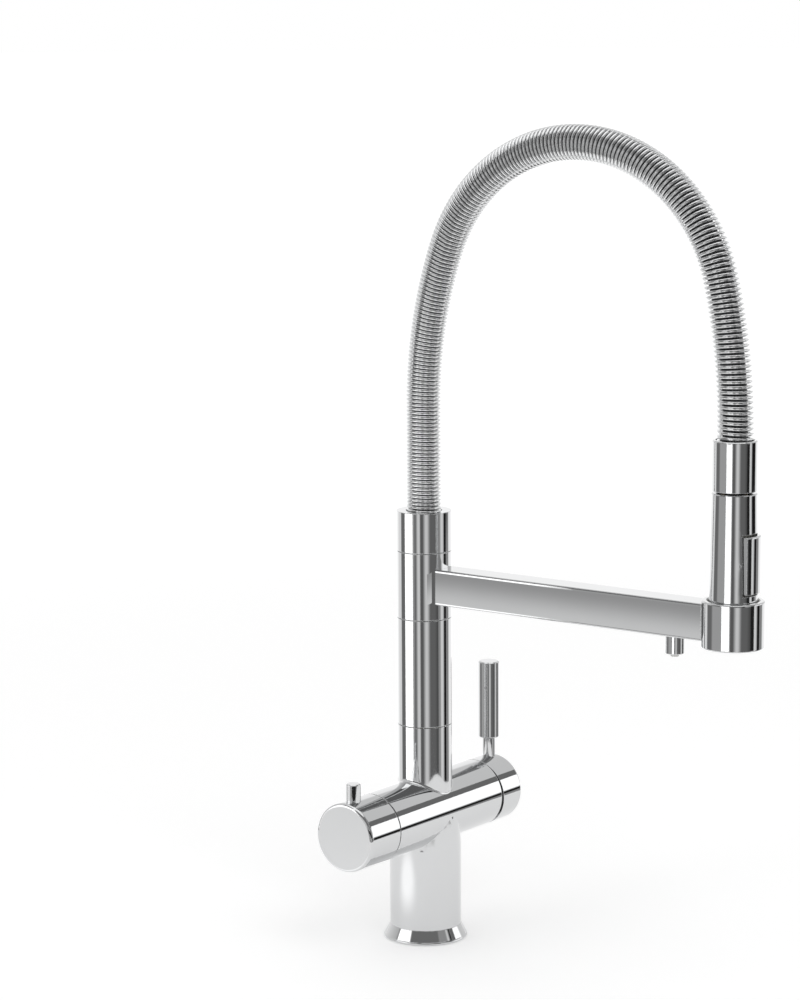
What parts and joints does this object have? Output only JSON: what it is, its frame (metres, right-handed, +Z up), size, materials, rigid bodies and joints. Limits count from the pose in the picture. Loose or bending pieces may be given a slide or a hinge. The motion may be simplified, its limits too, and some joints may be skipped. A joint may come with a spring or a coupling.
{
  "type": "kitchen mixer tap",
  "caption": "Chrome kitchen mixer tap with a separate drinking water knob and nozzle, a spring neck and a pull-off spray head held by a docking arm.",
  "frame": {"origin": "centre of the foot's underside, on the worktop", "axes": "+Z up the column; the docking arm and the spray head point along -Y; the cross tube lies along X, with the drinking water knob at -X and the mixer knob at +X"},
  "size_m": [0.165, 0.2753, 0.5282],
  "materials": {
    "polished_chrome": "mirror polished chrome plate on brass",
    "plated_plastic": "bright chrome plated ABS",
    "spring_wire": "polished chrome plated steel wire",
    "turned_brass": "turned, unplated",
    "black_rubber": "matt moulded rubber",
    "grey_rubber": "soft moulded silicone",
    "valve_plastic": "moulded acetal",
    "white_plastic": "moulded, satin",
    "black_plastic": "moulded, satin black",
    "ceramic": "lapped alumina",
    "stainless_steel": "turned stainless steel",
    "braided_hose": "grey reinforced hose"
  },
  "bodies": {
    "column": {"base_ring": "polished_chrome", "base_seal": "black_rubber", "inlet_block": "turned_brass", "valve_body": "polished_chrome", "column_post": "turned_brass", "post_seals": "black_rubber", "column_sleeve": "polished_chrome", "slip_ring": "white_plastic", "retaining_ring": "stainless_steel", "mixer_cartridge": "valve_plastic", "mixer_disc_fixed": "ceramic", "cartridge_nut": "turned_brass", "mixer_dome": "black_plastic", "filter_headwork": "turned_brass", "filter_disc_fixed": "ceramic"},
    "filter_handle": {"filter_spindle": "turned_brass", "filter_disc_moving": "ceramic", "filter_knob": "polished_chrome", "filter_pin": "polished_chrome"},
    "mixer_rotor": {"stem_carrier": "valve_plastic", "stem_axle": "stainless_steel", "mixer_disc_moving": "ceramic"},
    "mixer_handle": {"mixer_stem": "stainless_steel", "mixer_knob": "polished_chrome", "lever_neck": "polished_chrome", "lever_grip": "polished_chrome"},
    "swivel": {"arm_collar": "polished_chrome", "support_arm": "polished_chrome", "filter_tube": "white_plastic", "nozzle_elbow": "turned_brass", "filter_nozzle": "polished_chrome", "nozzle_insert": "white_plastic", "dock_ring": "polished_chrome", "dock_sleeve": "white_plastic", "top_collar": "polished_chrome", "hose_nipple": "turned_brass", "neck_spring": "spring_wire", "neck_hose": "braided_hose"},
    "hose_end": {"hose_ferrule": "polished_chrome", "hose_tail": "turned_brass", "tail_seal": "black_rubber"},
    "spray_head": {"spray_shell": "plated_plastic", "spray_core": "valve_plastic", "check_valve": "valve_plastic", "spray_face": "black_plastic", "nozzle_mat": "grey_rubber", "aerator": "white_plastic", "rocker_axle": "stainless_steel"},
    "rocker": {"spray_rocker": "plated_plastic"},
    "spool": {"diverter_spool": "stainless_steel"}
  },
  "joints": [
    {"name": "filter_turn", "type": "hinge", "parent": "column", "child": "filter_handle", "pos_m": [-0.0554, 0, 0.0837], "axis": [1, 0, 0], "range_deg": [0, 90]},
    {"name": "mixer_turn", "type": "hinge", "parent": "column", "child": "mixer_rotor", "pos_m": [0.056, 0, 0.0837], "axis": [1, 0, 0], "range_deg": [-45, 45]},
    {"name": "mixer_tilt", "type": "hinge", "parent": "mixer_rotor", "child": "mixer_handle", "pos_m": [0.056, 0, 0.0837], "axis": [0, 1, 0], "range_deg": [0, 9.5]},
    {"name": "arm_swing", "type": "hinge", "parent": "column", "child": "swivel", "pos_m": [0, 0, 0.2335], "axis": [0, 0, 1], "continuous": true},
    {"name": "head_lift", "type": "slide", "parent": "swivel", "child": "hose_end", "axis": [0, 0, 1], "range_m": [0, 0.04], "deforming": ["neck_spring", "neck_hose"]},
    {"name": "head_spin", "type": "hinge", "parent": "hose_end", "child": "spray_head", "pos_m": [0, -0.229, 0.3129], "axis": [0, 0, 1], "continuous": true},
    {"name": "rocker_tilt", "type": "hinge", "parent": "spray_head", "child": "rocker", "pos_m": [0, -0.2386, 0.2705], "axis": [1, 0, 0], "range_deg": [0, 7]},
    {"name": "spool_slide", "type": "slide", "parent": "spray_head", "child": "spool", "axis": [0, 1, 0], "range_m": [0, 0.0014]}
  ],
  "couplings": [
    {"joint": "spool_slide", "follows": "rocker_tilt", "m_per_rad": 0.0112}
  ]
}
